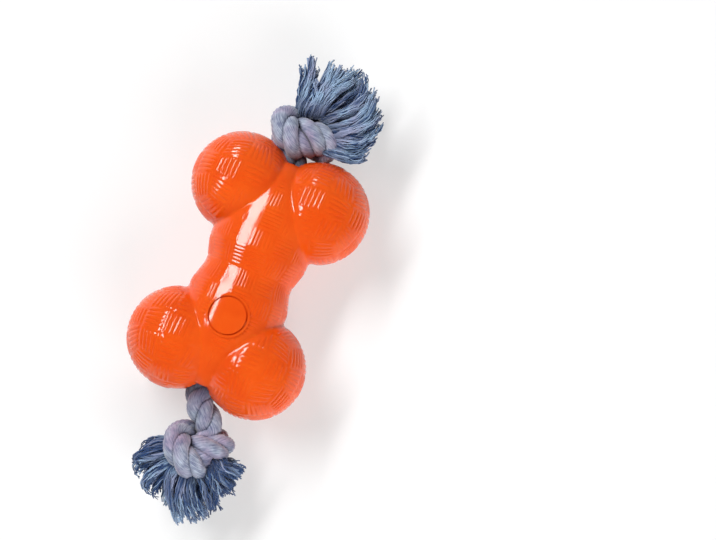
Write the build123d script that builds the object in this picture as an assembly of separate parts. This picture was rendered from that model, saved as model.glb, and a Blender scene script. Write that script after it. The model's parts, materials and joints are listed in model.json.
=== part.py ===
from build123d import *
import math
import os

# A chew toy: a moulded rubber bone on a three-strand cotton rope, knotted and frayed at both ends.
# The bone lies on its four ball lobes at z = 0, with its long axis along Y and the lobes to either side in X.

# Rubber bone, in millimetres
BONE_LENGTH = 130.0
BONE_WIDTH = 88.9
LOBE_RADIUS = 24.85
WAIST_RADIUS = 21.3
# The core flares from the waist to its shoulder, runs straight and then rounds off to the rope's mouth.
SHOULDER_RADIUS = 24.6
SHOULDER_START = 11.0
SHOULDER_END = 25.0
MOUTH_SETBACK = 8.0
MOUTH_LAND_RADIUS = 10.5

# Raised blank pad on the top of the core
PAD_RADIUS = 10.4
PAD_HEIGHT = 0.4
PAD_CENTRE_Y = -21.8

# Cotton rope
STRAND_COUNT = 3
STRAND_RADIUS = 2.9
ROPE_LAY = 38.0
SPLICE_DEPTH = 7.0

# Knots and necks: the upper knot sits in the notch between its lobes, the lower one stands off on its neck
KNOT_RADIUS = 15.0
KNOT_GROOVE_RADIUS = 1.6
KNOT_GROOVE_TILTS = (25.0, 80.0, 145.0)
LOWER_NECK_LENGTH = 12.0
LOWER_STEM_LENGTH = 20.9
LOWER_SIDE_ANGLE = 31.2
LOWER_DROOP = 8.0

# Frayed tassels, each a fan of three tufts about its knot, with the reach of each tuft from the knot's middle
UPPER_TUFT_REACHES = (38.0, 38.0, 38.0)
UPPER_TASSEL_ANGLE = 38.0
UPPER_TASSEL_SPREAD = 60.0
LOWER_TUFT_REACHES = (34.0, 34.0, 27.0)
LOWER_TASSEL_ANGLE = 15.0
LOWER_TASSEL_SPREAD = 76.0
# A tuft rises steeply out of the knot, swells and then levels off.
TUFT_ROOT_RISE = 30.0
TUFT_MIDDLE_RISE = 25.0
TUFT_TIP_RISE = 17.0

# Clearances
BORE_CLEARANCE = 0.5
SEAT_GAP = 0.3
STRAND_GAP = 0.3
FRAY_GAP = 0.4
SWING_GAP = 0.7
FLOOR_GAP = 0.3

# Places worked out from the sizes above
AXIS_HEIGHT = LOBE_RADIUS
LOBE_Y = BONE_LENGTH / 2 - LOBE_RADIUS
LOBE_X = BONE_WIDTH / 2 - LOBE_RADIUS
CORE_END = BONE_LENGTH / 2 - MOUTH_SETBACK
RUN_END = CORE_END - SPLICE_DEPTH
ALONG_Y = (-90, 0, 0)


def strand_spacing(lay_radius):
    """Closest distance between the centre lines of two neighbouring strands of the rope."""
    squares = []
    for step in range(121):
        turn = math.radians(-60 + step / 2)
        across = 2 * lay_radius**2 * (1 - math.cos(2 * math.pi / STRAND_COUNT + turn))
        along = ROPE_LAY * turn / (2 * math.pi)
        squares.append(across + along**2)
    return math.sqrt(min(squares))


def fitted_lay_radius():
    """Radius at which the strands lie round the rope's middle with the strand gap between them."""
    low = STRAND_RADIUS
    high = 4 * STRAND_RADIUS
    for halving in range(40):
        middle = (low + high) / 2
        if strand_spacing(middle) < 2 * STRAND_RADIUS + STRAND_GAP:
            low = middle
        else:
            high = middle
    return high


LAY_RADIUS = fitted_lay_radius()
ROPE_RADIUS = LAY_RADIUS + STRAND_RADIUS
BORE_RADIUS = ROPE_RADIUS + BORE_CLEARANCE

# The upper knot rests against both lobes of its end.
KNOT_TO_LOBE = LOBE_RADIUS + KNOT_RADIUS + SEAT_GAP
UPPER_KNOT_Y = LOBE_Y + math.sqrt(KNOT_TO_LOBE**2 - LOBE_X**2)

# The lower neck ends in a pivot, and from there the rope bends to one side and droops a little.
PIVOT_Y = -(CORE_END + LOWER_NECK_LENGTH)


def core(extra=0.0):
    """Hourglass core of the bone about the Y axis, with every radius grown by extra."""
    shoulder = SHOULDER_RADIUS + extra
    waist = WAIST_RADIUS + extra
    land = MOUTH_LAND_RADIUS + extra
    flare = Line((waist, 0), (shoulder, SHOULDER_START))
    straight = Line((shoulder, SHOULDER_START), (shoulder, SHOULDER_END))
    dome = TangentArc((shoulder, SHOULDER_END), (land, CORE_END), tangent=(0, 1))
    mouth = Line((land, CORE_END), (0, CORE_END))
    middle = Line((0, CORE_END), (0, 0))
    base = Line((0, 0), (waist, 0))
    half = revolve(make_face([flare, straight, dome, mouth, middle, base]), Axis.Y)
    return Pos(0, 0, AXIS_HEIGHT) * (half + mirror(half, Plane.XZ))


def along_y(radius, start, end):
    """Round bar on the rope's axis from y = start to y = end."""
    bar = Cylinder(radius, end - start, align=(Align.CENTER, Align.CENTER, Align.MIN))
    return Pos(0, start, AXIS_HEIGHT) * Rot(*ALONG_Y) * bar


def rubber_bone():
    """One moulding: the core, four lobes and the blank pad, with the rope's bore right through."""
    body = core()
    for side in (-1, 1):
        for end in (-1, 1):
            body += Pos(side * LOBE_X, end * LOBE_Y, AXIS_HEIGHT) * Rot(*ALONG_Y) * Sphere(LOBE_RADIUS)
    pad_column = Cylinder(PAD_RADIUS, BONE_WIDTH, align=(Align.CENTER, Align.CENTER, Align.MIN))
    body += core(PAD_HEIGHT) & (Pos(0, PAD_CENTRE_Y, AXIS_HEIGHT) * pad_column)
    return body - along_y(BORE_RADIUS, -BONE_LENGTH, BONE_LENGTH)


def rope_strand(number):
    """One strand of the run inside the bore, laid as a right-hand helix."""
    start = -(RUN_END + STRAND_RADIUS)
    path = Helix(pitch=ROPE_LAY, height=-2 * start, radius=LAY_RADIUS)
    section = Plane(origin=path @ 0, z_dir=path % 0) * Circle(STRAND_RADIUS)
    strand = Rot(0, 0, 360 / STRAND_COUNT * number) * sweep(section, path=path, is_frenet=True)
    whole = Pos(0, start, AXIS_HEIGHT) * Rot(*ALONG_Y) * strand
    return whole & along_y(BORE_RADIUS, -RUN_END, RUN_END)


def knot_ball():
    """Outer shape of an overhand knot about the origin, grooved where its wraps of rope meet."""
    ball = Sphere(KNOT_RADIUS)
    for tilt in KNOT_GROOVE_TILTS:
        ball -= Rot(0, tilt, 0) * Torus(KNOT_RADIUS, KNOT_GROOVE_RADIUS)
    return ball


def upper_knot():
    """Knot seated in the notch between the upper lobes."""
    return Pos(0, UPPER_KNOT_Y, AXIS_HEIGHT) * knot_ball()


def upper_neck():
    """Rope from the splice in the bore up to the upper knot."""
    knot_room = Pos(0, UPPER_KNOT_Y, AXIS_HEIGHT) * Sphere(KNOT_RADIUS + SEAT_GAP)
    return along_y(ROPE_RADIUS, RUN_END + SEAT_GAP, UPPER_KNOT_Y) - knot_room


def lower_neck():
    """Rope from the splice in the bore out to the ball that the lower end swings on."""
    neck = along_y(ROPE_RADIUS, PIVOT_Y, -(RUN_END + SEAT_GAP))
    return neck + Pos(0, PIVOT_Y, AXIS_HEIGHT) * Sphere(ROPE_RADIUS)


def lower_stem_frame():
    """Frame at the pivot whose Z axis points along the drooping lower end of the rope."""
    side = math.radians(LOWER_SIDE_ANGLE)
    droop = math.radians(LOWER_DROOP)
    level = math.cos(droop)
    direction = (math.sin(side) * level, -math.cos(side) * level, -math.sin(droop))
    return Plane(origin=(0, PIVOT_Y, AXIS_HEIGHT), z_dir=direction)


def lower_knot():
    """Knot of the lower end, with its stem of rope back to the pivot."""
    stem = Cylinder(ROPE_RADIUS, LOWER_STEM_LENGTH, align=(Align.CENTER, Align.CENTER, Align.MIN))
    knot = Pos(0, 0, LOWER_STEM_LENGTH) * knot_ball()
    return lower_stem_frame() * (stem + knot - Sphere(ROPE_RADIUS + SWING_GAP))


def from_knot(distance, rise):
    """Point of a tuft's section at a distance from the knot's middle and a rise in degrees."""
    return Vector(distance, 0).rotate(Axis.Z, rise)


def tuft(reach, arc, height):
    """One frayed tuft, fanned through arc degrees about a knot at a height, with its tip on the surface."""
    root = KNOT_RADIUS + SEAT_GAP
    drop = math.degrees(math.asin((height - FLOOR_GAP) / reach))
    underside = Line(from_knot(root, -drop), from_knot(reach, -drop))
    tip = CenterArc((0, 0), reach, -drop, drop + TUFT_TIP_RISE)
    swell = from_knot((root + reach) / 2, TUFT_MIDDLE_RISE)
    top = ThreePointArc(from_knot(reach, TUFT_TIP_RISE), swell, from_knot(root, TUFT_ROOT_RISE))
    inside = CenterArc((0, 0), root, -drop, drop + TUFT_ROOT_RISE)
    section = Plane.XZ * make_face([underside, tip, top, inside])
    return revolve(section, Axis.Z, revolution_arc=arc)


def tassel(reaches, spread, heading, centre):
    """Three frayed tufts side by side about a knot's middle."""
    share = 2 * spread / STRAND_COUNT
    parting = math.degrees(FRAY_GAP / (KNOT_RADIUS + SEAT_GAP))
    tufts = []
    for number, reach in enumerate(reaches):
        turn = heading - spread + number * share + parting / 2
        tufts.append(Pos(*centre) * Rot(0, 0, turn) * tuft(reach, share - parting, centre.Z))
    return tufts


def export(name, shape):
    export_step(shape, f"parts/{name}.step")


os.makedirs("parts", exist_ok=True)
export("rubber_bone", rubber_bone())
for number in range(STRAND_COUNT):
    export(f"rope_strand_{number + 1}", rope_strand(number))
export("upper_neck", upper_neck())
export("upper_knot", upper_knot())
export("lower_neck", lower_neck())
export("lower_knot", lower_knot())

upper_centre = Vector(0, UPPER_KNOT_Y, AXIS_HEIGHT)
upper_tufts = tassel(UPPER_TUFT_REACHES, UPPER_TASSEL_SPREAD, 90 - UPPER_TASSEL_ANGLE, upper_centre)
lower_centre = (lower_stem_frame() * Pos(0, 0, LOWER_STEM_LENGTH)).position
lower_tufts = tassel(LOWER_TUFT_REACHES, LOWER_TASSEL_SPREAD, LOWER_TASSEL_ANGLE - 90, lower_centre)
for number, solid in enumerate(upper_tufts, start=1):
    export(f"upper_tuft_{number}", solid)
for number, solid in enumerate(lower_tufts, start=1):
    export(f"lower_tuft_{number}", solid)

print(f"rope {2 * ROPE_RADIUS:.2f} across, lay radius {LAY_RADIUS:.2f}, bore {2 * BORE_RADIUS:.2f}")
print(f"upper knot at y {UPPER_KNOT_Y:.2f}, lower pivot at y {PIVOT_Y:.2f}, lower knot at {lower_centre}")
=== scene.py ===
import json
import math

import bpy
import numpy as np
from bpy.props import FloatProperty, FloatVectorProperty, PointerProperty
from mathutils import Matrix, Vector


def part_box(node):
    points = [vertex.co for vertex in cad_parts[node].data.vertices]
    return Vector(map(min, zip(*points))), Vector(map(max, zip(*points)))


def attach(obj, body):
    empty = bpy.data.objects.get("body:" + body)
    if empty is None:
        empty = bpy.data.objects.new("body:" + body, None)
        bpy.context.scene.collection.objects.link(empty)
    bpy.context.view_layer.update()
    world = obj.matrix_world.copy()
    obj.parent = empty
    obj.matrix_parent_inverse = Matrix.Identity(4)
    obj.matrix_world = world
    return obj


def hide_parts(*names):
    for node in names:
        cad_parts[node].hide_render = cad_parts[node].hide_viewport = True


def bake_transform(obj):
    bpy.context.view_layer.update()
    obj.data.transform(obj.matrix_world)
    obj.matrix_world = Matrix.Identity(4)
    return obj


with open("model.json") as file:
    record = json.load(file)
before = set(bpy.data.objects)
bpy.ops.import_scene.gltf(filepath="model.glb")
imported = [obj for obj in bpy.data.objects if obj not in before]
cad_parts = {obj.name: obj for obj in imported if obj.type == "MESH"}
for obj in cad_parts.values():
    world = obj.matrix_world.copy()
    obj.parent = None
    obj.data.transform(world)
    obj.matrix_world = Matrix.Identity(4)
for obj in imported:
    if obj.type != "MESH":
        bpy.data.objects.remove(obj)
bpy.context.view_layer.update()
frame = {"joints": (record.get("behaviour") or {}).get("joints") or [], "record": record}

bl_info = {
    "name": "Rubber bone on a rope",
    "version": (1, 0, 0),
    "blender": (4, 5, 0),
    "location": "View3D > Sidebar > Chew toy",
    "description": "Models a moulded rubber bone on a knotted cotton rope with frayed ends",
    "category": "Object",
}

# Everything is in metres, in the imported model's own
# frame: the bone lies on its lobes with its rope along Y.
MM = 0.001
BONE_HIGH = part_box("rubber_bone")[1]
JOINTS = {joint["name"]: joint for joint in frame["joints"]}
MOUNTS = {mount["name"]: mount for mount in frame["record"]["mounts"]}
AXIS_HEIGHT = JOINTS["rope_turn"]["pos_m"][2]
UPPER_KNOT = Vector(JOINTS["upper_tassel_swing"]["pos_m"])
LOWER_KNOT = Vector(MOUNTS["lower_pull"]["pos_m"])

# The bone rests on its four lobes, so their radius is the height of the axis.
LOBE_RADIUS = AXIS_HEIGHT
LOBE_X = BONE_HIGH[0] - LOBE_RADIUS
LOBE_Y = BONE_HIGH[1] - LOBE_RADIUS
# The rope's mouths lie between the lobes, back from their ends.
MOUTH_SETBACK = 8 * MM
CORE_END = BONE_HIGH[1] - MOUTH_SETBACK


def linear(hex_colour):
    """Linear RGB of an sRGB colour written as #RRGGBB."""
    channels = []
    for start in (1, 3, 5):
        value = int(hex_colour[start:start + 2], 16) / 255
        channels.append(value / 12.92 if value <= 0.04045 else ((value + 0.055) / 1.055) ** 2.4)
    return tuple(channels)


def length_property(name, description, millimetres):
    """Setting for a length."""
    return FloatProperty(
        name=name, description=description, default=millimetres * MM, unit="LENGTH", precision=5)


def colour_property(name, description, hex_colour):
    """Setting for a colour."""
    return FloatVectorProperty(
        name=name, description=description, size=3, subtype="COLOR", default=linear(hex_colour), min=0, max=1)


class BoneSettings(bpy.types.PropertyGroup):
    """Sizes and colours of the rubber bone."""

    waist_radius: length_property("Waist radius", "Radius of the core half-way along the bone", 21.3)
    shoulder_radius: length_property("Shoulder radius", "Largest radius of the core", 24.6)
    shoulder_start: length_property("Shoulder start", "Distance from the middle where the core is full", 11)
    shoulder_end: length_property("Shoulder end", "Distance from the middle where the core rounds off", 25)
    mouth_land: length_property("Mouth land", "Radius of the flat round the rope's mouth", 10.5)
    bore_radius: length_property("Bore radius", "Radius of the hole for the rope", 7.14)
    lobe_rib: length_property("Lobe rib height", "Height of the ribs of the weave pattern on the lobes", 0.3)
    core_rib: length_property("Core rib height", "Height of the finer ribs on the core", 0.2)
    pad_radius: length_property("Pad radius", "Radius of the blank pad on the core", 10.4)
    pad_centre: length_property("Pad centre", "Place of the pad along the bone", -21.8)
    pad_height: length_property("Pad height", "How far the pad's rim stands above the core", 0.6)
    pad_rim: length_property("Pad rim", "Width of the pad's raised rim", 1.1)
    pad_groove: length_property("Pad groove", "Width and depth of the groove inside the pad's rim", 0.6)
    colour: colour_property("Rubber", "Main colour of the rubber", "#EC5A16")
    deep_colour: colour_property("Rubber, deep", "Colour where more pigment has settled", "#E65010")


class RopeSettings(bpy.types.PropertyGroup):
    """Sizes and colours of the cotton rope and its tassels."""

    diameter: length_property("Rope diameter", "Across the three laid strands", 13.5)
    lay: length_property("Lay length", "Length of rope in which a strand goes once round", 29)
    yarn_radius: length_property("Yarn radius", "Radius of a loose yarn", 0.42)
    colour: colour_property("Rope, pale", "Pale fibres of the laid rope", "#C4CFDF")
    tint_colour: colour_property("Rope, lilac", "Pale fibres where the dye has run", "#BFB2CC")
    deep_colour: colour_property("Rope, deep", "Dark fibres of the laid rope", "#6A7090")
    # Painted shade: colour mixed in deep in the rope's grooves and knots and by the bone's mouths
    groove_shade_colour: colour_property("Rope, grooves", "Deep in the grooves of rope and knots", "#28263C")
    yarn_colour: colour_property("Yarn, pale", "Pale loose yarns", "#A2BEDC")
    yarn_tint_colour: colour_property("Yarn, lilac", "Pale loose yarns where the dye has run", "#A4AECE")
    yarn_deep_colour: colour_property("Yarn, deep", "Dark loose yarns", "#2C4A7A")
    # Painted shade: colour mixed in at the yarns' roots under the knot and on the lower rows of locks
    yarn_root_shade_colour: colour_property("Yarn, roots", "Loose yarns where they come out of the knot", "#1B294A")


def deselect_all():
    """Leaves edit mode and deselects every object."""
    if bpy.context.object and bpy.context.object.mode != "OBJECT":
        bpy.ops.object.mode_set(mode="OBJECT")
    bpy.ops.object.select_all(action="DESELECT")


def activate(piece):
    """Selects one object alone and makes it the active one."""
    deselect_all()
    piece.select_set(True)
    bpy.context.view_layer.objects.active = piece


def apply_modifier(piece, kind, **settings):
    """Adds a modifier with its settings and applies it."""
    activate(piece)
    modifier = piece.modifiers.new(kind.lower(), kind)
    for name, value in settings.items():
        setattr(modifier, name, value)
    bpy.ops.object.modifier_apply(modifier=modifier.name)


def combine(piece, tool, operation):
    """Joins, cuts or trims a closed piece with another, which is used up."""
    apply_modifier(piece, "BOOLEAN", operation=operation, object=tool, solver="MANIFOLD")
    bpy.data.objects.remove(tool)


def vertex_places(piece):
    """Places of a mesh's vertices as an array."""
    places = np.empty(len(piece.data.vertices) * 3)
    piece.data.vertices.foreach_get("co", places)
    return places.reshape(-1, 3)


def set_vertex_places(piece, places):
    """Moves a mesh's vertices to the places in an array."""
    piece.data.vertices.foreach_set("co", places.ravel())
    piece.data.update()


def add_node(tree, kind, inputs=None, **settings):
    """Adds a node with its settings. An input that is given a socket is linked to it, any other is set."""
    node = tree.nodes.new(kind)
    for name, value in settings.items():
        setattr(node, name, value)
    for name, value in (inputs or {}).items():
        if isinstance(value, bpy.types.NodeSocket):
            tree.links.new(value, node.inputs[name])
        else:
            node.inputs[name].default_value = value
    return node


def shader_of(name, **constants):
    """New material, its node tree and its Principled shader, with constants set on the shader's sockets."""
    material = bpy.data.materials.new(name)
    material.use_nodes = True
    shader = material.node_tree.nodes["Principled BSDF"]
    for socket, value in constants.items():
        shader.inputs[socket.replace("_", " ")].default_value = value
    return material, material.node_tree, shader


def per_metre(millimetres):
    """Scale of a noise texture whose features are that many millimetres across."""
    return 1 / (millimetres * MM)


# Inputs of the Mix node: its factor, the two numbers and the two colours that it mixes
MIX_FACTOR = 0
NUMBER_A = 2
NUMBER_B = 3
COLOUR_A = 6
COLOUR_B = 7
# Outputs of the Mix node
MIXED_NUMBER = 0
MIXED_COLOUR = 2

# Moulded rubber: sizes in millimetres of its flow marks,
# of the smears in its polish and of the grain of its skin
RUBBER_FLOW = 14
RUBBER_SMEAR = 5
RUBBER_GRAIN = 1.2
RUBBER_GRAIN_DEPTH = 0.06 * MM
# Depth to which light enters the rubber, and its roughness where it is most and least polished
RUBBER_LIGHT_DEPTH = 3 * MM
RUBBER_ROUGHNESS = (0.07, 0.13)


def moulded_rubber(bone):
    """Thermoplastic rubber, injection moulded: glossy and a little see-through, with soft flow marks
    and a fine skin."""
    material, tree, shader = shader_of(
        "moulded_rubber", IOR=1.5, Specular_IOR_Level=0.32, Subsurface_Weight=0.15,
        Subsurface_Radius=(1.0, 0.3, 0.1), Subsurface_Scale=RUBBER_LIGHT_DEPTH)
    place = add_node(tree, "ShaderNodeTexCoord").outputs["Object"]
    flow = add_node(tree, "ShaderNodeTexNoise", {
        "Vector": place, "Scale": per_metre(RUBBER_FLOW), "Detail": 3.0})
    spread = add_node(tree, "ShaderNodeMapRange", {
        "Value": flow.outputs["Fac"], "From Min": 0.35, "From Max": 0.7})
    colour = add_node(tree, "ShaderNodeMix", {
        MIX_FACTOR: spread.outputs["Result"], COLOUR_A: (*bone.colour, 1), COLOUR_B: (*bone.deep_colour, 1)},
        data_type="RGBA")
    tree.links.new(colour.outputs[MIXED_COLOUR], shader.inputs["Base Color"])
    smear = add_node(tree, "ShaderNodeTexNoise", {
        "Vector": place, "Scale": per_metre(RUBBER_SMEAR), "Detail": 4.0})
    polish = add_node(tree, "ShaderNodeMapRange", {
        "Value": smear.outputs["Fac"], "From Min": 0.3, "From Max": 0.7, "To Min": RUBBER_ROUGHNESS[0],
        "To Max": RUBBER_ROUGHNESS[1]})
    tree.links.new(polish.outputs["Result"], shader.inputs["Roughness"])
    skin = add_node(tree, "ShaderNodeTexNoise", {
        "Vector": place, "Scale": per_metre(RUBBER_GRAIN), "Detail": 3.0})
    bump = add_node(tree, "ShaderNodeBump", {
        "Height": skin.outputs["Fac"], "Strength": 0.25, "Distance": RUBBER_GRAIN_DEPTH})
    tree.links.new(bump.outputs["Normal"], shader.inputs["Normal"])
    return material


# Cotton: sizes in millimetres of the blotches in its dye and of the patches where the dye has run
COTTON_BLOTCH = 4
COTTON_RUN = 11
# Share of the blotches in its streaks, and depth of its
# fibres, which are drawn coarser than real ones so they show
BLOTCH_SHARE = 0.4
FIBRE_DEPTH = 0.3 * MM


def cotton(name, pale, tint, deep, groove, shade_share, fibre_long, fibre_wide):
    """Spun cotton, dyed unevenly: matt and soft, streaked along its fibres, blotched where the dye took less,
    tinted where it has run, and with shade painted dark in its grooves and where it lies less open."""
    material, tree, shader = shader_of(
        name, Roughness=0.88, Sheen_Weight=0.3, Sheen_Roughness=0.5, Specular_IOR_Level=0.25)
    place = add_node(tree, "ShaderNodeTexCoord").outputs["Object"]
    lay = add_node(tree, "ShaderNodeUVMap", uv_map="lay").outputs["UV"]
    stretched = add_node(tree, "ShaderNodeMapping", {
        "Vector": lay, "Scale": (per_metre(fibre_long), per_metre(fibre_wide), 1.0)})
    fibre = add_node(tree, "ShaderNodeTexNoise", {
        "Vector": stretched.outputs["Vector"], "Scale": 1.0, "Detail": 4.0})
    blotch = add_node(tree, "ShaderNodeTexNoise", {
        "Vector": place, "Scale": per_metre(COTTON_BLOTCH), "Detail": 4.0})
    shade = add_node(tree, "ShaderNodeAttribute", attribute_name="shade").outputs["Fac"]
    streaks = add_node(tree, "ShaderNodeMix", {
        MIX_FACTOR: BLOTCH_SHARE, NUMBER_A: fibre.outputs["Fac"], NUMBER_B: blotch.outputs["Fac"]},
        data_type="FLOAT")
    mixed = add_node(tree, "ShaderNodeMix", {
        MIX_FACTOR: shade_share, NUMBER_A: streaks.outputs[MIXED_NUMBER], NUMBER_B: shade}, data_type="FLOAT")
    spread = add_node(tree, "ShaderNodeMapRange", {
        "Value": mixed.outputs[MIXED_NUMBER], "From Min": 0.36, "From Max": 0.64})
    run = add_node(tree, "ShaderNodeTexNoise", {
        "Vector": place, "Scale": per_metre(COTTON_RUN), "Detail": 2.0})
    run_share = add_node(tree, "ShaderNodeMapRange", {
        "Value": run.outputs["Fac"], "From Min": 0.42, "From Max": 0.62})
    light = add_node(tree, "ShaderNodeMix", {
        MIX_FACTOR: run_share.outputs["Result"], COLOUR_A: (*pale, 1), COLOUR_B: (*tint, 1)},
        data_type="RGBA")
    dyed = add_node(tree, "ShaderNodeMix", {
        MIX_FACTOR: spread.outputs["Result"], COLOUR_A: (*deep, 1), COLOUR_B: light.outputs[MIXED_COLOUR]},
        data_type="RGBA")
    # Painted shade: the groove colour is mixed in where the open attribute is low
    unshaded = add_node(tree, "ShaderNodeAttribute", attribute_name="open").outputs["Fac"]
    colour = add_node(tree, "ShaderNodeMix", {
        MIX_FACTOR: unshaded, COLOUR_A: (*groove, 1), COLOUR_B: dyed.outputs[MIXED_COLOUR]}, data_type="RGBA")
    tree.links.new(colour.outputs[MIXED_COLOUR], shader.inputs["Base Color"])
    bump = add_node(tree, "ShaderNodeBump", {
        "Height": fibre.outputs["Fac"], "Strength": 0.8, "Distance": FIBRE_DEPTH})
    tree.links.new(bump.outputs["Normal"], shader.inputs["Normal"])
    return material


# Weave pattern of the rubber: squares of parallel ribs, every second one
# turned, with plain lines between squares. Heights over the steps of one
# rib, from its groove on, and steps in which a rib comes up at its ends
RIB_PROFILE = np.array([0.0, 1.0, 1.0])
STEPS_PER_RIB = len(RIB_PROFILE)
RIB_END_STEPS = 2
# Edges that turn by more degrees than this, such as the grooves between ribs, are sharp
SHARP_ANGLE = 28
# Ribs in a square, and squares along the side of a lobe's cube and round the core
LOBE_RIBS = 5
LOBE_SQUARES = 3
CORE_RIBS = 6
CORE_SQUARES = 14
# Distance between the rows of the core's mesh, along the bone
CORE_STEP = 0.56 * MM
# Steps by which the core's squares are shifted round it and along it
CORE_SHIFT = (6, 15)
# Strip without ribs along the core beside its top, in degrees from the top, how much
# flatter it is than the core, and the rows by the waist between which ribs cross it
PLAIN_STRIP = (-23, -9)
STRIP_FLATNESS = 0.8
CROSSED_ROWS = (3, 21)
# Rows over which the corners of the core's profile are rounded, rows at each
# end whose place the lip of the rope's mouth takes, and rows of that lip
PROFILE_ROUNDING = 11
LIP_START = 4
LIP_ROWS = 7
# Points of the core that lie nearer than this are one point
MERGE_DISTANCE = 0.01 * MM
# Sides of the round columns that cut the pad, and of the bore
PAD_SIDES = 128
BORE_SIDES = 96

# How far each lobe's pattern is rolled about the bone's length and pitched along
# it, in degrees, and whether the square at its top has ribs across the bone
LOBE_PATTERNS = {
    (-1, 1): (13, 7, False),
    (1, 1): (-9, 10, True),
    (-1, -1): (1, 12, True),
    (1, -1): (-6, 7, False),
}


def rib_heights(across, along, ribs, turned=0):
    """Rib height, from 0 to 1, at places counted in steps across and along a pattern of squares of ribs."""
    square = STEPS_PER_RIB * ribs
    checker = (across // square + along // square + turned) % 2 == 0
    over_ribs = np.where(checker, across, along)
    down_ribs = np.where(checker, along, across) % square
    from_end = np.minimum(down_ribs, square - down_ribs)
    return RIB_PROFILE[over_ribs % STEPS_PER_RIB] * np.clip(from_end / RIB_END_STEPS, 0, 1)


def raise_ribs(piece, heights, rib_height):
    """Raises a mesh's ribs along its normals, by weights in a vertex group."""
    group = piece.vertex_groups.new(name="ribs")
    for height in np.unique(heights[heights > 0]):
        group.add(np.nonzero(heights == height)[0].tolist(), float(height), "REPLACE")
    apply_modifier(
        piece, "DISPLACE", direction="NORMAL", strength=rib_height, mid_level=0.0, vertex_group="ribs")
    piece.vertex_groups.clear()


def ribbed_lobe(side, end, rib_height):
    """One ball lobe: a finely divided cube blown up to a ball, with the weave pattern on its faces."""
    roll, pitch, turned = LOBE_PATTERNS[side, end]
    steps = LOBE_SQUARES * STEPS_PER_RIB * LOBE_RIBS
    deselect_all()
    bpy.ops.mesh.primitive_cube_add(size=2)
    lobe = bpy.context.object
    bpy.ops.object.mode_set(mode="EDIT")
    bpy.ops.mesh.subdivide(number_cuts=steps - 1)
    bpy.ops.object.mode_set(mode="OBJECT")
    cube = vertex_places(lobe)
    counted = np.rint((cube + 1) / 2 * steps).astype(int)
    facing = np.argmax(np.abs(cube), axis=1)
    order = np.arange(len(cube))
    across = counted[order, (facing + 1) % 3]
    along = counted[order, (facing + 2) % 3]
    heights = rib_heights(across, along, LOBE_RIBS, turned + LOBE_SQUARES // 2)
    ball = np.tan(cube * math.pi / 4)
    ball *= (LOBE_RADIUS - rib_height) / np.linalg.norm(ball, axis=1, keepdims=True)
    set_vertex_places(lobe, ball)
    raise_ribs(lobe, heights, rib_height)
    turn = Matrix.Rotation(math.radians(-pitch), 4, "X") @ Matrix.Rotation(math.radians(roll), 4, "Y")
    lobe.matrix_world = Matrix.Translation((side * LOBE_X, end * LOBE_Y, AXIS_HEIGHT)) @ turn
    bpy.ops.object.transform_apply(location=True, rotation=True, scale=True)
    return lobe


def core_radius(bone, place):
    """Radius of the core along the bone: a flare from the waist, a straight run and a rounded end."""
    distance = np.abs(place)
    flare = bone.waist_radius + (bone.shoulder_radius - bone.waist_radius) * distance / bone.shoulder_start
    drop = bone.shoulder_radius - bone.mouth_land
    run = CORE_END - bone.shoulder_end
    dome_radius = (run ** 2 + drop ** 2) / (2 * drop)
    past = np.maximum(distance - bone.shoulder_end, 0)
    dome = bone.shoulder_radius - dome_radius + np.sqrt(dome_radius ** 2 - past ** 2)
    return np.minimum(flare, dome)


def core_profile(bone):
    """Distances of the core's rows from its waist, out to the round lip of its mouth, and their radii."""
    half = math.ceil(CORE_END / CORE_STEP)
    rows = np.arange(-half, half + 1)
    sharp = core_radius(bone, np.clip(rows * CORE_STEP, -CORE_END, CORE_END))
    padded = np.pad(sharp, PROFILE_ROUNDING // 2, "edge")
    radii = np.convolve(padded, np.full(PROFILE_ROUNDING, 1 / PROFILE_ROUNDING), "valid")[half:]
    last = half - LIP_START
    along = np.arange(last + 1) * CORE_STEP
    start = math.atan2(radii[last - 1] - radii[last], CORE_STEP)
    turn = np.linspace(start, math.pi / 2, LIP_ROWS + 1)[1:]
    lip_radius = (CORE_END - along[last]) / (1 - math.sin(start))
    lip_along = along[last] + lip_radius * (np.sin(turn) - math.sin(start))
    lip_radii = radii[last] - lip_radius * (math.cos(start) - np.cos(turn))
    # The last row is small enough for the bore to cut away.
    row_along = np.hstack([along, lip_along, CORE_END])
    row_radii = np.hstack([radii[:last + 1], lip_radii, bone.bore_radius / 2])
    return row_along, row_radii


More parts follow.
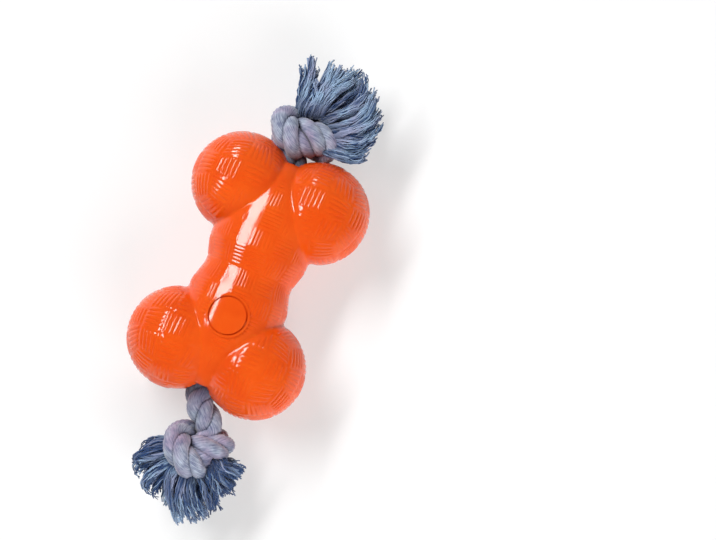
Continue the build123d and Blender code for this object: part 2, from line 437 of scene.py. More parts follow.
def core_shell(bone, extra, ribbed=False):
    """The hourglass core, closed at both ends and grown by extra. It may have its ribs and plain strip."""
    around = CORE_SQUARES * STEPS_PER_RIB * CORE_RIBS
    row_along, row_radii = core_profile(bone)
    half = len(row_along) - 1
    deselect_all()
    bpy.ops.mesh.primitive_grid_add(x_subdivisions=around, y_subdivisions=2 * half, size=2)
    core = bpy.context.object
    grid = vertex_places(core)
    column = np.rint((grid[:, 0] + 1) / 2 * around).astype(int)
    row = np.rint(grid[:, 1] * half).astype(int)
    along = np.sign(row) * row_along[np.abs(row)]
    turn = 2 * math.pi * column / around
    from_top = np.degrees(np.arctan2(np.sin(turn), np.cos(turn)))
    on_strip = (from_top > PLAIN_STRIP[0]) & (from_top < PLAIN_STRIP[1])
    strip_middle = np.mean(PLAIN_STRIP)
    strip_half = np.ptp(PLAIN_STRIP) / 2
    flat = math.cos(math.radians(strip_half)) / np.cos(np.radians(from_top - strip_middle))
    radius = row_radii[np.abs(row)] + extra
    if ribbed:
        radius = radius * np.where(on_strip, 1 - STRIP_FLATNESS * (1 - flat), 1)
    places = np.stack([radius * np.sin(turn), along, AXIS_HEIGHT + radius * np.cos(turn)], axis=1)
    set_vertex_places(core, places)
    heights = rib_heights(column + CORE_SHIFT[0], row + CORE_SHIFT[1], CORE_RIBS)
    heights[np.abs(row) > half - LIP_ROWS - RIB_END_STEPS] = 0
    by_waist = (row > CROSSED_ROWS[0]) & (row < CROSSED_ROWS[1])
    crossing = RIB_PROFILE[(row + CORE_SHIFT[1]) % STEPS_PER_RIB] * by_waist
    heights[on_strip] = crossing[on_strip]
    if ribbed:
        raise_ribs(core, heights, bone.core_rib)
    bpy.ops.object.mode_set(mode="EDIT")
    bpy.ops.mesh.select_all(action="SELECT")
    bpy.ops.mesh.remove_doubles(threshold=MERGE_DISTANCE)
    bpy.ops.mesh.fill_holes(sides=0)
    bpy.ops.mesh.normals_make_consistent(inside=False)
    bpy.ops.object.mode_set(mode="OBJECT")
    return core


def upright_column(bone, radius):
    """Round column that stands on the axis under the pad, for cutting."""
    deselect_all()
    bpy.ops.mesh.primitive_cylinder_add(
        vertices=PAD_SIDES, radius=radius, depth=2 * LOBE_RADIUS,
        location=(0, bone.pad_centre, AXIS_HEIGHT + LOBE_RADIUS))
    column = bpy.context.object
    bpy.ops.object.transform_apply(location=True, rotation=True, scale=True)
    return column


def upright_ring(bone, outer, inner):
    """Upright tube about the pad's middle, for cutting."""
    ring = upright_column(bone, outer)
    combine(ring, upright_column(bone, inner), "DIFFERENCE")
    return ring


def add_blank_pad(piece, bone):
    """Adds the blank round pad to the bone: a low face along the core, in a groove and a raised rim."""
    rim_inside = bone.pad_radius - bone.pad_rim
    face_radius = rim_inside - bone.pad_groove
    rim = core_shell(bone, bone.pad_height)
    combine(rim, upright_ring(bone, bone.pad_radius, rim_inside), "INTERSECT")
    combine(piece, rim, "UNION")
    face = core_shell(bone, bone.pad_height / 2)
    combine(face, upright_column(bone, face_radius), "INTERSECT")
    combine(piece, face, "UNION")
    groove = upright_ring(bone, rim_inside, face_radius)
    combine(groove, core_shell(bone, -bone.pad_groove), "DIFFERENCE")
    combine(piece, groove, "DIFFERENCE")


# Moulded fillet where the lobes meet the core: how far it reaches, how
# steeply it fades out, and how often and how much the mesh there is smoothed
FILLET_REACH = 3 * MM
FILLET_FADE = 1.5
FILLET_PASSES = 30
FILLET_FACTOR = 0.5


def round_creases(piece, bone):
    """Rounds the creases between the lobes and the core into soft moulded fillets."""
    places = vertex_places(piece)
    from_axis = np.hypot(places[:, 0], places[:, 2] - AXIS_HEIGHT)
    from_core = np.abs(from_axis - core_radius(bone, np.clip(places[:, 1], -CORE_END, CORE_END)))
    from_lobes = np.full(len(places), np.inf)
    for side, end in LOBE_PATTERNS:
        middle = (side * LOBE_X, end * LOBE_Y, AXIS_HEIGHT)
        from_lobe = np.abs(np.linalg.norm(places - middle, axis=1) - LOBE_RADIUS)
        from_lobes = np.minimum(from_lobes, from_lobe)
    weights = np.clip(FILLET_FADE * (1 - np.maximum(from_core, from_lobes) / FILLET_REACH), 0, 1)
    group = piece.vertex_groups.new(name="creases")
    for vertex in np.nonzero(weights > 0)[0]:
        group.add([int(vertex)], float(weights[vertex]), "REPLACE")
    apply_modifier(
        piece, "SMOOTH", factor=FILLET_FACTOR, iterations=FILLET_PASSES, vertex_group="creases")
    piece.vertex_groups.clear()


class CHEW_OT_bone(bpy.types.Operator):
    """Models the rubber bone: a ribbed core with four ribbed lobes, a blank pad and a bore for the rope"""

    bl_idname = "chew.bone"
    bl_label = "Rubber bone"

    def execute(self, context):
        bone = context.scene.chew_bone
        # The core's own radius is half-way up its ribs.
        piece = core_shell(bone, -bone.core_rib / 2, ribbed=True)
        for side, end in LOBE_PATTERNS:
            combine(piece, ribbed_lobe(side, end, bone.lobe_rib), "UNION")
        round_creases(piece, bone)
        add_blank_pad(piece, bone)
        deselect_all()
        bpy.ops.mesh.primitive_cylinder_add(
            vertices=BORE_SIDES, radius=bone.bore_radius, depth=3 * CORE_END, location=(0, 0, AXIS_HEIGHT),
            rotation=(math.pi / 2, 0, 0))
        bore = context.object
        bpy.ops.object.transform_apply(location=True, rotation=True, scale=True)
        combine(piece, bore, "DIFFERENCE")
        piece.name = "bone_moulding"
        activate(piece)
        bpy.ops.object.shade_smooth_by_angle(angle=math.radians(SHARP_ANGLE))
        piece.data.materials.clear()
        piece.data.materials.append(moulded_rubber(bone))
        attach(piece, "bone")
        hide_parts("rubber_bone")
        return {"FINISHED"}


# Points that are read from a rope's line for each of its control points
LINE_RESOLUTION = 12


def nurbs_line(name, points):
    """Points along the smooth NURBS line that has the given control points."""
    curve = bpy.data.curves.new(name, "CURVE")
    curve.dimensions = "3D"
    curve.resolution_u = LINE_RESOLUTION
    spline = curve.splines.new("NURBS")
    spline.points.add(len(points) - 1)
    for control, place in zip(spline.points, points):
        control.co = (*place, 1.0)
    spline.order_u = 3
    spline.use_endpoint_u = True
    holder = bpy.data.objects.new(name, curve)
    mesh = bpy.data.meshes.new_from_object(holder)
    line = np.array([vertex.co for vertex in mesh.vertices])
    bpy.data.objects.remove(holder)
    bpy.data.curves.remove(curve)
    bpy.data.meshes.remove(mesh)
    return line


def distances(line):
    """Distance of each point of a line from its start, along it."""
    return np.concatenate([[0.0], np.cumsum(np.linalg.norm(np.diff(line, axis=0), axis=1))])


def even(line, count):
    """The same line as count points that are equally far apart."""
    along = distances(line)
    places = np.linspace(0.0, along[-1], count)
    return np.stack([np.interp(places, along, line[:, axis]) for axis in range(3)], axis=1)


# A loose overhand knot as it is laid by hand, in rope diameters: along the rope, to its side and up
LOOSE_KNOT = [
    (-7.0, 0.0, 0.0), (-5.0, -0.4, 0.2), (-3.0, -3.2, 0.6), (-1.2, -3.6, 1.0), (-1.0, -1.3, 0.1),
    (0.7, 0.3, -1.0), (2.4, 0.1, -0.3), (2.5, -1.4, 0.9), (0.7, -2.5, 0.4), (-0.7, -2.5, -0.4),
    (-2.5, -1.4, -0.9), (-2.4, 0.1, 0.3), (-0.7, 0.3, 1.0), (1.0, -1.3, -0.1), (1.2, -3.6, -1.0),
    (3.0, -3.2, -0.6), (5.0, -0.4, -0.2), (7.0, 0.0, 0.0),
]
# Points along the knot while it is pulled tight
KNOT_POINTS = 130
# Steps in which the knot is pulled tight, the last of them in which it only
# settles, share of its length that it keeps in a step, and how far the rope
# presses into itself, in diameters, before it stops getting shorter
KNOT_STEPS = 700
KNOT_SETTLING = 150
KNOT_KEPT = 0.997
KNOT_PRESS = 0.2
# Length of rope, in diameters, within which it doesn't press on itself,
# the shares of the push apart, of the straightening and of the pull
# along the rope that a point gives way to in a step, and pulls in a step
KNOT_TOUCH_LENGTH = 1.5
KNOT_PUSH = 0.4
KNOT_STRAIGHTENING = 0.12
KNOT_PULL = 0.45
KNOT_PULLS = 6
# Keeps the distance of a point from itself off zero
TINY = 1e-9
# Share of its diameter that the soft rope keeps where it presses on itself in a knot
KNOT_SQUEEZE = 0.75
# Half the length of the knotted stretch, in squeezed diameters
KNOT_HALF = 1.15


def tight_knot():
    """The loose knot pulled tight, in squeezed diameters: it shortens until the rope presses on itself."""
    line = even(nurbs_line("loose_knot", LOOSE_KNOT), KNOT_POINTS)
    ends = line[[0, -1]].copy()
    rest = distances(line)[-1] / (KNOT_POINTS - 1)
    order = np.arange(KNOT_POINTS)
    steps_apart = np.abs(order[:, None] - order[None, :])
    for step in range(KNOT_STEPS):
        away = line[:, None] - line[None]
        distance = np.linalg.norm(away, axis=2) + TINY
        apart = steps_apart * rest >= KNOT_TOUCH_LENGTH
        pressed = np.where(apart & (distance < 1.0), 1.0 - distance, 0.0)
        touching = np.maximum(1, (pressed > 0).sum(axis=1))
        line += KNOT_PUSH * (away * (pressed / distance)[..., None]).sum(axis=1) / touching[:, None]
        line[1:-1] += KNOT_STRAIGHTENING * ((line[2:] + line[:-2]) / 2 - line[1:-1])
        for _ in range(KNOT_PULLS):
            line[[0, -1]] = ends
            run = np.diff(line, axis=0)
            length = np.linalg.norm(run, axis=1, keepdims=True)
            pull = KNOT_PULL * run * (length - rest) / length
            line[:-1] += pull
            line[1:] -= pull
        line[[0, -1]] = ends
        if pressed.max() < KNOT_PRESS and step < KNOT_STEPS - KNOT_SETTLING:
            rest *= KNOT_KEPT
    knotted = np.nonzero(np.abs(line[:, 0]) < KNOT_HALF)[0]
    return line[knotted[0]:knotted[-1] + 1]


# Direction that no line here starts along, from which its first side direction is found
STEEP_DIRECTION = (0.13, 0.21, 0.97)


def carried_frames(line):
    """Two side directions at each point of a line, carried along it without twist."""
    heading = np.gradient(line, axis=0)
    heading /= np.linalg.norm(heading, axis=1, keepdims=True)
    side = np.cross(heading[0], STEEP_DIRECTION)
    sides = []
    for direction in heading:
        side = side - direction * side.dot(direction)
        side = side / np.linalg.norm(side)
        sides.append(side)
    sides = np.array(sides)
    return sides, np.cross(heading, sides)


class TubeNet:
    """Gathers closed tubes into one mesh, with a UV map in metres along and round them, a shade for each tube
    and how open each point lies, which sets its painted shade."""

    def __init__(self):
        self.vertices = []
        self.faces = []
        self.outward = []
        self.places = []
        self.shades = []
        self.open = []

    def add(self, line, radii, sides, twist=0.0, ridge=0.0, shade=0.5, opening=None):
        """Adds a tube along a line. It may twist, in radians a metre, and be ridged at every second side."""
        across, up = carried_frames(line)
        along = distances(line)
        spots = np.arange(sides)
        turn = 2 * math.pi * spots / sides + twist * along[:, None]
        radius = radii[:, None] + ridge * np.where(spots % 2 == 0, 0.5, -0.5)
        outward = np.cos(turn)[..., None] * across[:, None] + np.sin(turn)[..., None] * up[:, None]
        rings = line[:, None] + radius[..., None] * outward
        first = len(self.vertices)
        self.vertices.extend(map(tuple, rings.reshape(-1, 3)))
        self.outward.extend(map(tuple, outward.reshape(-1, 3)))
        self.shades.extend([shade] * (len(line) * sides))
        self.open.extend(np.repeat(np.ones(len(line)) if opening is None else opening, sides))
        girth = 2 * math.pi * float(radii.mean())
        for ring in range(len(line) - 1):
            low = first + ring * sides
            high = low + sides
            for spot in range(sides):
                beside = (spot + 1) % sides
                self.faces.append((low + spot, low + beside, high + beside, high + spot))
                left = girth * spot / sides
                right = girth * (spot + 1) / sides
                start, end = along[ring], along[ring + 1]
                self.places.extend(((start, left), (start, right), (end, right), (end, left)))
        last = first + (len(line) - 1) * sides
        self.faces.append(tuple(first + spot for spot in reversed(range(sides))))
        self.faces.append(tuple(last + spot for spot in range(sides)))
        self.places.extend([(0.0, 0.0)] * sides)
        self.places.extend([(along[-1], 0.0)] * sides)

    def piece(self, name, material):
        """Makes the object at the origin, smooth and with its material."""
        mesh = bpy.data.meshes.new(name)
        mesh.from_pydata(self.vertices, [], self.faces)
        layer = mesh.uv_layers.new(name="lay")
        layer.data.foreach_set("uv", np.array(self.places).ravel())
        for attribute, values in (("shade", self.shades), ("open", self.open)):
            layer = mesh.attributes.new(attribute, "FLOAT", "POINT")
            layer.data.foreach_set("value", np.array(values))
        made = bpy.data.objects.new(name, mesh)
        bpy.context.scene.collection.objects.link(made)
        activate(made)
        bpy.ops.object.shade_smooth()
        mesh.materials.append(material)
        return made


STRANDS = 3
STRAND_SIDES = 24
# Radius of a strand and of the circle that the strands' middles lie on, in rope diameters: soft
# strands press into each other, so together they come to a little more than half the diameter
STRAND_SHARE = 0.27
LAY_SHARE = 0.24
# Height of the ridges that the yarns of a strand make
YARN_RIDGE = 0.36 * MM
# Distance from the bone's mouths over which the rope
# comes out of its shade, and how open it lies in a mouth
UPPER_MOUTH_SHADE = 7 * MM
LOWER_MOUTH_SHADE = 17 * MM
MOUTH_OPENING = 0.25
# Heights over the rope's surface at which other strands shade it, and distances from the
# middle of a strand, in its radii, within which its shade starts and over which it deepens
SHADING_HEIGHTS = (0.6 * MM, 1.6 * MM, 3.2 * MM)
SHADE_START = 1.25
SHADE_DEPTH = 0.45


def openness(net, strand_lines, strand_radius):
    """How open each point of a rope lies, for its painted shade: 1 where nothing stands over it and 0 deep in
    a groove.
    """
    surface = np.array(net.vertices)
    outward = np.array(net.outward)
    middles = np.concatenate(strand_lines)
    covered = np.zeros(len(surface))
    for height in SHADING_HEIGHTS:
        raised = surface + outward * height
        nearest = np.full(len(surface), np.inf)
        for middle in middles:
            nearest = np.minimum(nearest, ((raised - middle) ** 2).sum(axis=1))
        inside = SHADE_START * strand_radius - np.sqrt(nearest)
        covered += np.clip(inside / (SHADE_DEPTH * strand_radius), 0, 1)
    shade_length = np.where(surface[:, 1] > 0, UPPER_MOUTH_SHADE, LOWER_MOUTH_SHADE)
    from_mouth = np.clip((np.abs(surface[:, 1]) - CORE_END) / shade_length, 0, 1)
    return (1 - covered / len(SHADING_HEIGHTS)) * (MOUTH_OPENING + (1 - MOUTH_OPENING) * from_mouth)


def laid_rope(name, line, rope, material):
    """Three strands laid right-handed along a line, with the ridges of their yarns turned the other way."""
    across, up = carried_frames(line)
    along = distances(line)
    net = TubeNet()
    strand_lines = []
    for strand in range(STRANDS):
        turn = 2 * math.pi * (along / rope.lay + strand / STRANDS)
        aside = np.cos(turn)[:, None] * across + np.sin(turn)[:, None] * up
        radii = np.full(len(line), STRAND_SHARE * rope.diameter)
        strand_lines.append(line + LAY_SHARE * rope.diameter * aside)
        net.add(strand_lines[-1], radii, STRAND_SIDES, -2 * math.pi / rope.lay, YARN_RIDGE)
    # The openness paints shade into the rope's colour: dark in grooves, under other strands and by the bone's
    # mouths
    net.open = openness(net, strand_lines, STRAND_SHARE * rope.diameter)
    return net.piece(name, material)


def plan_direction(angle, rise=0.0):
    """Direction that is angle degrees from +Y towards +X as seen from above, and rises by rise degrees."""
    flat = math.cos(math.radians(rise))
    turn = math.radians(angle)
    return Vector((math.sin(turn) * flat, math.cos(turn) * flat, math.sin(math.radians(rise))))


def placed_knot(knot, rope, centre, angle, rise, roll):
    """The tight knot about a centre, along a plan angle and rise and rolled about that line, in degrees."""
    heading = plan_direction(angle, rise)
    side = heading.cross(Vector((0, 0, 1))).normalized()
    up = side.cross(heading)
    turn = Matrix.Rotation(math.radians(roll), 3, heading)
    basis = np.array([heading, turn @ -side, turn @ up])
    return knot * KNOT_SQUEEZE * rope.diameter @ basis + np.array(centre)


# Where the rope ends start inside the bore, and points of
# their necks on the rope's axis, in millimetres along Y
SPLICE_Y = 50
UPPER_NECK_Y = (SPLICE_Y, 54, 58)
LOWER_NECK_Y = (-SPLICE_Y, -59, -65)
# Points along each rope end and along the run in the bore,
# and every how many points of the knot the rope follows
ROPE_POINTS = 170
RUN_POINTS = 60
KNOT_STRIDE = 3
# Plan angle, rise and roll of each knot, in degrees
UPPER_KNOT_TURN = (40, 0, 120)
LOWER_KNOT_TURN = (199, -8, 20)
# How far each knot lies from the middle of its solid: the
# upper one is pressed into the notch between its lobes
UPPER_KNOT_SHIFT = Vector((-1, -3, 0)) * MM
LOWER_KNOT_SHIFT = Vector((-2.4, 1.6, 0)) * MM
# Plan angle that each tail leaves its knot at, and the distance of its end from the knot's middle
UPPER_TAIL = (35, 11)
LOWER_TAIL = (176, 11)


class CHEW_OT_rope(bpy.types.Operator):
    """Models the rope: the run in the bore and the two ends with their overhand knots"""

    bl_idname = "chew.rope"
    bl_label = "Rope and knots"

    def execute(self, context):
        rope = context.scene.chew_rope
        material = cotton(
            "laid_cotton_rope", rope.colour, rope.tint_colour, rope.deep_colour, rope.groove_shade_colour,
            shade_share=0.0, fibre_long=3, fibre_wide=0.6)
        knot = tight_knot()
        straight = [(0, y * MM, AXIS_HEIGHT) for y in (-SPLICE_Y, 0, SPLICE_Y)]
        run = laid_rope("rope_in_bore", even(nurbs_line("run", straight), RUN_POINTS), rope, material)
        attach(run, "rope_run")
        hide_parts("rope_strand_1", "rope_strand_2", "rope_strand_3")
        ends = []
        for name, neck, centre, knot_turn, (tail_angle, tail_reach) in (
                ("upper_rope", UPPER_NECK_Y, UPPER_KNOT + UPPER_KNOT_SHIFT, UPPER_KNOT_TURN, UPPER_TAIL),
                ("lower_rope", LOWER_NECK_Y, LOWER_KNOT + LOWER_KNOT_SHIFT, LOWER_KNOT_TURN, LOWER_TAIL)):
            placed = placed_knot(knot, rope, centre, *knot_turn)
            tail = centre + plan_direction(tail_angle) * tail_reach * MM
            straight = [(0, y * MM, AXIS_HEIGHT) for y in neck]
            route = [*straight, *map(tuple, placed[::KNOT_STRIDE]), tuple(tail)]
            line = even(nurbs_line(name, route), ROPE_POINTS)
            ends.append(laid_rope(name, line, rope, material))
        upper, lower = ends
        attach(upper, "rope_ends")
        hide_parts("upper_neck", "upper_knot")
        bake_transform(lower)
        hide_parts("lower_neck", "lower_knot")
        return {"FINISHED"}


# Outline of each tassel from above: plan angle in degrees from the way the rope
# leaves the bone, towards +X, and reach from the knot's middle in millimetres
UPPER_OUTLINE = (
    (-26, 33), (-22, 38), (-18, 38), (-16, 35), (-15, 25), (-8, 25), (-7, 31), (-5, 35), (12, 36), (23, 38),
    (39, 38), (50, 35), (62, 33), (80, 31), (90, 30), (98, 27))
LOWER_OUTLINE = (
    (-69, 26), (-56, 29), (-46, 31), (-30, 30), (-21, 28), (-3, 32), (6, 35), (12, 34), (19, 34), (24, 32),
    (33, 31), (49, 25), (57, 26), (74, 23), (88, 22), (95, 18))
# Each tuft by its node: first and last plan angle of its tips, the plan
# angle at which it leaves the knot, how far its tips curl on from there,
# half the width of its root in millimetres, and how pale its yarns are.
# In upper_tuft_1 the lower paleness is painted shade from the lobe beside it.
UPPER_TUFTS = {
    "upper_tuft_1": (52, 94, 102, -42, 6, 0.5),
    "upper_tuft_2": (13, 58, 62, -36, 8, 0.74),
    "upper_tuft_3": (-25, 18, -16, -4, 6, 0.74),
}
LOWER_TUFTS = {
    "lower_tuft_1": (-69, -18, -76, 70, 5, 0.4),
    "lower_tuft_2": (-14, 34, -30, 25, 5, 0.5),
    "lower_tuft_3": (24, 93, 54, 0, 7, 0.28),
}
# Locks of a tuft: how many side by side, and for each row, from the lowest up, the rise at its
# root, of its tip and at its tip, in degrees. Every second row stands half a lock to the side.
LOCK_COLUMNS = 7
LOCK_ROWS = ((-26, -33, -40), (-8, -18, -32), (14, -2, -20), (30, 12, -8))
# Share of its tuft's curl that each row takes, and how open it lies, which paints shade darker on the lower
# rows
ROW_CURLS = (0.3, 0.7, 1.2, 1.7)
ROW_OPENINGS = (0.45, 0.7, 0.9, 1.0)
# The locks of a row draw together into this many bunches, by this much, and are shorter between them
# by this share. The bunches of each row stand this share of a bunch beside those of the row under it.
BUNCHES = 2
BUNCHING = 0.42
BUNCH_NOTCH = 0.07
BUNCH_STAGGER = 0.3
# Where a tuft starts under its knot: how far out from the knot's middle, half its height and how far down
TUFT_ROOT = 6 * MM
TUFT_ROOT_TALL = 5 * MM
TUFT_ROOT_DROP = 2 * MM
# A lock's own shape: the points along it, and the finer ones at which a yarn
# is cut to length, how far it runs straight on at its root and its tip, as
# shares of its span, the radius that its yarns lie in and their turns
LOCK_POINTS = 12
FINE_POINTS = 5 * LOCK_POINTS
LOCK_HANDLES = (0.45, 0.4)
LOCK_ROOT_RADIUS = 0.9 * MM
LOCK_TIP_RADIUS = 1.65 * MM
LOCK_TWISTS = (0.3, 1.0)
# How far locks differ from one another: their reach, as shares of the
# outline's, the plan angle and rise of their tips in degrees, their sway
# to the side and up, and their shade. A lock sways in part of a wave.
LOCK_REACHES = (0.99, 1.08)
LOCK_ANGLE_SPREAD = 1.5
LOCK_RISE_SPREAD = 4
LOCK_SWAY = 2.0 * MM
LOCK_LIFT = 0.6 * LOCK_SWAY
SWAY_WAVES = 0.75
LOCK_SHADE_SPREAD = 0.13
# Yarns of a lock, and how far they differ: their length, as shares of the lock's, their radius, as shares
# of the rope's yarn radius, their shade, and the least share of its row's openness, for painted shade, that a
# yarn keeps
YARNS_PER_LOCK = 13
YARN_SIDES = 4
YARN_LENGTHS = (0.82, 1.0)
YARN_RADII = (0.75, 1.2)
YARN_TIP_RADIUS = 0.75
YARN_SHADE_SPREAD = 0.19
YARN_OPENING = 0.75
# Crimp of a yarn: how far it waves to its sides, and how long a wave is
CRIMP = 0.5 * MM
CRIMP_LENGTHS = (6 * MM, 11 * MM)
# Least height of a yarn's middle above the floor
FLOOR_CLEARANCE = 1.2 * MM
# Share of its length over which a yarn comes out of the knot's shade, and how open it lies at its root
ROOT_SHADE = 0.45
ROOT_OPENING = 0.1
# Start of the random draws, which are the same in every run
YARN_SEED = 7


def lock_line(root, tip, leaving, arriving, sway):
    """Middle line of a lock: a smooth curve from its root to its tip, swayed to its sides."""
    span = np.linalg.norm(tip - root)
    t = np.linspace(0, 1, LOCK_POINTS)[:, None]
    u = 1 - t
    near = root + leaving * span * LOCK_HANDLES[0]
    far = tip - arriving * span * LOCK_HANDLES[1]
    line = u ** 3 * root + 3 * u * u * t * near + 3 * u * t * t * far + t ** 3 * tip
    return line + sway * np.sin(2 * math.pi * SWAY_WAVES * t) * t


def yarn_line(lock, spot, twist, length_share, chance):
    """Line of one yarn: it winds round its lock, waves a little and stops short of the lock's tip."""
    across, up = carried_frames(lock)
    t = np.linspace(0, 1, LOCK_POINTS)
    turn = 2 * math.pi * (spot + twist * t)
    radius = LOCK_ROOT_RADIUS + (LOCK_TIP_RADIUS - LOCK_ROOT_RADIUS) * t
    wave = 2 * math.pi * (distances(lock) / chance.uniform(*CRIMP_LENGTHS) + chance.uniform())
    along_side = radius * np.cos(turn) + CRIMP * np.sin(wave)
    along_up = radius * np.sin(turn) + CRIMP * np.cos(wave)
    line = even(lock + along_side[:, None] * across + along_up[:, None] * up, FINE_POINTS)
    line = even(line[:math.ceil(length_share * len(line))], LOCK_POINTS)
    line[:, 2] = np.maximum(line[:, 2], FLOOR_CLEARANCE)
    return line


def frayed_tuft(name, rope, material, centre, rope_angle, shape, outline, chance):
    """One tuft: locks of yarns that come out from under the knot and fan out to the tassel's outline."""
    outline_angles, outline_reaches = zip(*outline)
    first, last, leaving_angle, curl, root_width, paleness_and_shade = shape
    sense = 1 if rope_angle == 0 else -1
    aside = np.array(plan_direction(rope_angle + sense * (leaving_angle + 90)))
    outwards = np.array(plan_direction(rope_angle + sense * leaving_angle))
    middle = np.array(centre) + TUFT_ROOT * outwards - (0, 0, TUFT_ROOT_DROP)
    root_shade = np.clip(np.linspace(0, 1 / ROOT_SHADE, LOCK_POINTS), ROOT_OPENING, 1)
    net = TubeNet()
    for row, (root_rise, tip_rise, end_rise) in enumerate(LOCK_ROWS):
        for column in range(LOCK_COLUMNS):
            across = (column + 0.25 + 0.5 * (row % 2)) / LOCK_COLUMNS
            bunch = 2 * math.pi * (BUNCHES * across + BUNCH_STAGGER * row)
            drawn = across + BUNCHING * math.sin(bunch) / (2 * math.pi * BUNCHES)
            angle = first + (last - first) * min(max(drawn, 0), 1) + chance.normal(0, LOCK_ANGLE_SPREAD)
            reach = np.interp(angle, outline_angles, outline_reaches) * MM * chance.uniform(*LOCK_REACHES)
            reach *= 1 - BUNCH_NOTCH * (1 + math.cos(bunch)) / 2
            root = middle + aside * root_width * MM * (2 * across - 1)
            root = root + (0, 0, TUFT_ROOT_TALL * (2 * row / (len(LOCK_ROWS) - 1) - 1))
            rise = tip_rise + chance.normal(0, LOCK_RISE_SPREAD)
            tip = np.array(centre + plan_direction(rope_angle + sense * angle, rise) * reach)
            leaving = np.array(plan_direction(rope_angle + sense * (leaving_angle + angle) / 2, root_rise))
            curled = angle + ROW_CURLS[row] * curl
            arriving = np.array(plan_direction(rope_angle + sense * curled, end_rise))
            sway = aside * chance.normal(0, LOCK_SWAY) + (0, 0, chance.normal(0, LOCK_LIFT))
            lock = lock_line(root, tip, leaving, arriving, sway)
            # The tuft's paleness includes painted shade for upper_tuft_1, which lies by a lobe
            lock_shade = chance.normal(paleness_and_shade, LOCK_SHADE_SPREAD)
            twist = chance.uniform(*LOCK_TWISTS)
            for yarn in range(YARNS_PER_LOCK):
                spot = yarn / YARNS_PER_LOCK
                line = yarn_line(lock, spot, twist, chance.uniform(*YARN_LENGTHS), chance)
                taper = np.linspace(1.0, YARN_TIP_RADIUS, LOCK_POINTS)
                radii = rope.yarn_radius * chance.uniform(*YARN_RADII) * taper
                shade = float(np.clip(lock_shade + chance.normal(0, YARN_SHADE_SPREAD), 0, 1))
                # Painted shade: darker at the root, on the lower rows and by a random share for each yarn
                opening = root_shade * ROW_OPENINGS[row] * chance.uniform(YARN_OPENING, 1.0)
                net.add(line, radii, YARN_SIDES, shade=shade, opening=opening)
    return net.piece(name, material)


class CHEW_OT_tassels(bpy.types.Operator):
    """Models the frayed tassels: three tufts of loose yarns at each end of the rope"""

    bl_idname = "chew.tassels"
    bl_label = "Tassels"

    def execute(self, context):
        rope = context.scene.chew_rope
        material = cotton(
            "loose_cotton_yarn", rope.yarn_colour, rope.yarn_tint_colour, rope.yarn_deep_colour,
            rope.yarn_root_shade_colour, shade_share=0.7, fibre_long=4, fibre_wide=0.5)
        chance = np.random.default_rng(YARN_SEED)
        for rope_end, mouth_y, tufts, body, centre, rope_angle, outline in (
                ("upper_rope", CORE_END, UPPER_TUFTS, "upper_tassel", UPPER_KNOT, 0, UPPER_OUTLINE),
                ("lower_rope", -CORE_END, LOWER_TUFTS, "lower_end", LOWER_KNOT, 180, LOWER_OUTLINE)):
            for node, shape in tufts.items():
                tuft = frayed_tuft(
                    node + "_yarns", rope, material, centre, rope_angle, shape, outline, chance)
                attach(tuft, body)
                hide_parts(node)
        return {"FINISHED"}


# Photograph: where the camera looks from, and the width of the view at the height of the bone's axis
CAMERA_AZIMUTH = 22.3
CAMERA_ELEVATION = 86.5
CAMERA_DISTANCE = 0.9
VIEW_WIDTH = 343.5 * MM
VIEW_CENTRE = Vector((47.6 * MM, 22.3 * MM, AXIS_HEIGHT))
SENSOR_WIDTH = 36.0
# Light of the studio's pale walls and its darker ceiling, where 1 is white
HORIZON_LEVEL = 0.22
CEILING_LEVEL = 0.08
# Share of plain white in the floor as it is seen near the toy, where its shadow
# lies, and the distances from the toy between which it rises to all white
FLOOR_SIZE = 4.0
FLOOR_WHITE = 0.45
FLOOR_NEAR = 0.2
FLOOR_FAR = 0.6


def softbox(name, direction, distance, width, length, watts, mirrored=True):
    """Oval studio lamp that faces the bone, its length along it. It may be kept out of reflections."""
    deselect_all()
    bpy.ops.object.light_add(type="AREA")
    lamp = bpy.context.object
    lamp.name = name
    lamp.data.shape = "ELLIPSE"
    lamp.data.size = width
    lamp.data.size_y = length
    lamp.data.energy = watts
    lamp.visible_glossy = mirrored
    facing = Vector(direction).normalized()
    across = Vector((0, 1, 0)).cross(facing).normalized()
    turn = Matrix((across, facing.cross(across), facing)).transposed().to_4x4()
    lamp.matrix_world = Matrix.Translation(Vector((0, 0, AXIS_HEIGHT)) + distance * facing) @ turn


def white_paper():
    """Matt white paper: white to the camera and in reflections, with the toy's soft shadow on it."""
    material = bpy.data.materials.new("white_paper")
    material.use_nodes = True
    tree = material.node_tree
    tree.nodes.clear()
    path = add_node(tree, "ShaderNodeLightPath").outputs
    seen = add_node(
        tree, "ShaderNodeMath", {0: path["Is Camera Ray"], 1: path["Is Glossy Ray"]}, operation="MAXIMUM")
    seen = add_node(
        tree, "ShaderNodeMath", {0: seen.outputs[0], 1: path["Is Transmission Ray"]}, operation="MAXIMUM")
    place = add_node(tree, "ShaderNodeTexCoord").outputs["Object"]
    away = add_node(tree, "ShaderNodeVectorMath", {0: place}, operation="LENGTH").outputs["Value"]
    white = add_node(tree, "ShaderNodeMapRange", {
        "Value": away, "From Min": FLOOR_NEAR, "From Max": FLOOR_FAR, "To Min": FLOOR_WHITE, "To Max": 1.0},
        interpolation_type="SMOOTHSTEP")
    share = add_node(
        tree, "ShaderNodeMath", {0: seen.outputs[0], 1: white.outputs["Result"]}, operation="MULTIPLY")
    paper = add_node(tree, "ShaderNodeBsdfDiffuse", {"Color": (*linear("#FAFAFA"), 1)})
    glow = add_node(tree, "ShaderNodeEmission", {"Color": (1, 1, 1, 1), "Strength": 1.0})
    both = add_node(tree, "ShaderNodeMixShader", {
        0: share.outputs[0], 1: paper.outputs[0], 2: glow.outputs[0]})
    add_node(tree, "ShaderNodeOutputMaterial", {"Surface": both.outputs[0]})
    return material


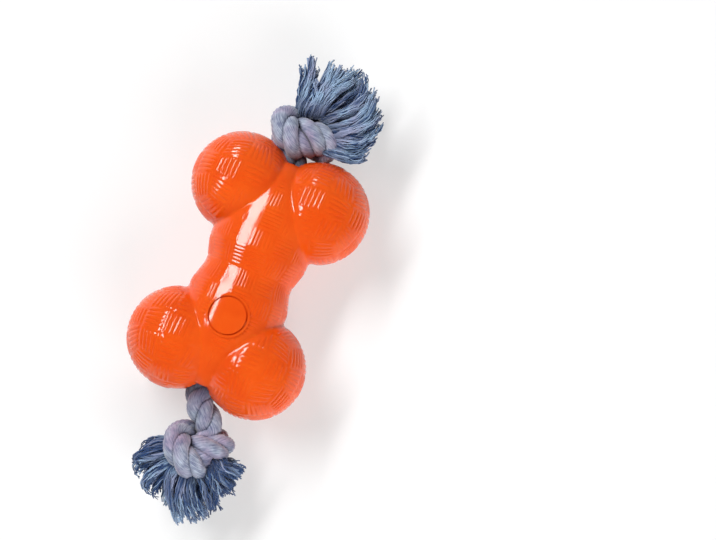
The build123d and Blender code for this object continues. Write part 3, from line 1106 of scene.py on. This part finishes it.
class CHEW_OT_stage(bpy.types.Operator):
    """Sets up the floor, the lamps, the world and the camera"""

    bl_idname = "chew.stage"
    bl_label = "Stage"

    def execute(self, context):
        scene = context.scene
        scene.view_settings.view_transform = "Standard"
        turn = math.radians(CAMERA_AZIMUTH)
        tilt = math.radians(CAMERA_ELEVATION)
        back = Vector((math.sin(turn) * math.cos(tilt), -math.cos(turn) * math.cos(tilt), math.sin(tilt)))
        deselect_all()
        bpy.ops.object.camera_add(location=VIEW_CENTRE + CAMERA_DISTANCE * back)
        camera = context.object
        camera.name = "photo_camera"
        camera.rotation_mode = "QUATERNION"
        camera.rotation_quaternion = (-back).to_track_quat("-Z", "Y")
        camera.data.sensor_width = SENSOR_WIDTH
        camera.data.lens = SENSOR_WIDTH * CAMERA_DISTANCE / VIEW_WIDTH
        scene.camera = camera
        bpy.ops.mesh.primitive_plane_add(size=FLOOR_SIZE)
        floor = context.object
        floor.name = "floor"
        floor.data.materials.append(white_paper())
        softbox(
            "key_softbox", direction=(-0.591, 0.28, 0.757), distance=1.7, width=0.27, length=1.8, watts=30)
        softbox(
            "fill_softbox", direction=(0.75, -0.55, 0.42), distance=1.5, width=1.5, length=1.5, watts=21,
            mirrored=False)
        scene.world = bpy.data.worlds.new("studio")
        scene.world.use_nodes = True
        tree = scene.world.node_tree
        direction = add_node(tree, "ShaderNodeTexCoord").outputs["Generated"]
        height = add_node(tree, "ShaderNodeSeparateXYZ", {"Vector": direction}).outputs["Z"]
        sky = add_node(tree, "ShaderNodeMapRange", {
            "Value": height, "To Min": HORIZON_LEVEL, "To Max": CEILING_LEVEL})
        seen = add_node(tree, "ShaderNodeLightPath").outputs["Is Camera Ray"]
        level = add_node(tree, "ShaderNodeMix", {
            MIX_FACTOR: seen, NUMBER_A: sky.outputs["Result"], NUMBER_B: 1.0}, data_type="FLOAT")
        background = tree.nodes["Background"]
        background.inputs["Color"].default_value = (1, 1, 1, 1)
        tree.links.new(level.outputs[MIXED_NUMBER], background.inputs["Strength"])
        return {"FINISHED"}


class CHEW_PT_toy(bpy.types.Panel):
    """Lists the toy's settings and the operators that model it"""

    bl_label = "Rubber bone on a rope"
    bl_idname = "CHEW_PT_toy"
    bl_space_type = "VIEW_3D"
    bl_region_type = "UI"
    bl_category = "Chew toy"

    def draw(self, context):
        layout = self.layout
        for settings, operators in (
                (context.scene.chew_bone, ("chew.bone",)),
                (context.scene.chew_rope, ("chew.rope", "chew.tassels"))):
            box = layout.box()
            for name in settings.bl_rna.properties.keys():
                if name not in ("rna_type", "name"):
                    box.prop(settings, name)
            for operator in operators:
                box.operator(operator)
        layout.operator("chew.stage")


CLASSES = (
    BoneSettings, RopeSettings, CHEW_OT_stage, CHEW_OT_rope, CHEW_OT_tassels, CHEW_OT_bone, CHEW_PT_toy)


def register():
    """Registers the settings, operators and panel."""
    for each in CLASSES:
        bpy.utils.register_class(each)
    bpy.types.Scene.chew_bone = PointerProperty(type=BoneSettings)
    bpy.types.Scene.chew_rope = PointerProperty(type=RopeSettings)


def unregister():
    """Removes the settings, operators and panel."""
    del bpy.types.Scene.chew_bone
    del bpy.types.Scene.chew_rope
    for each in reversed(CLASSES):
        bpy.utils.unregister_class(each)


def main():
    """Makes the stage and every piece in order."""
    register()
    bpy.ops.chew.stage()
    bpy.ops.chew.rope()
    bpy.ops.chew.tassels()
    bpy.ops.chew.bone()


if __name__ == "__main__":
    main()
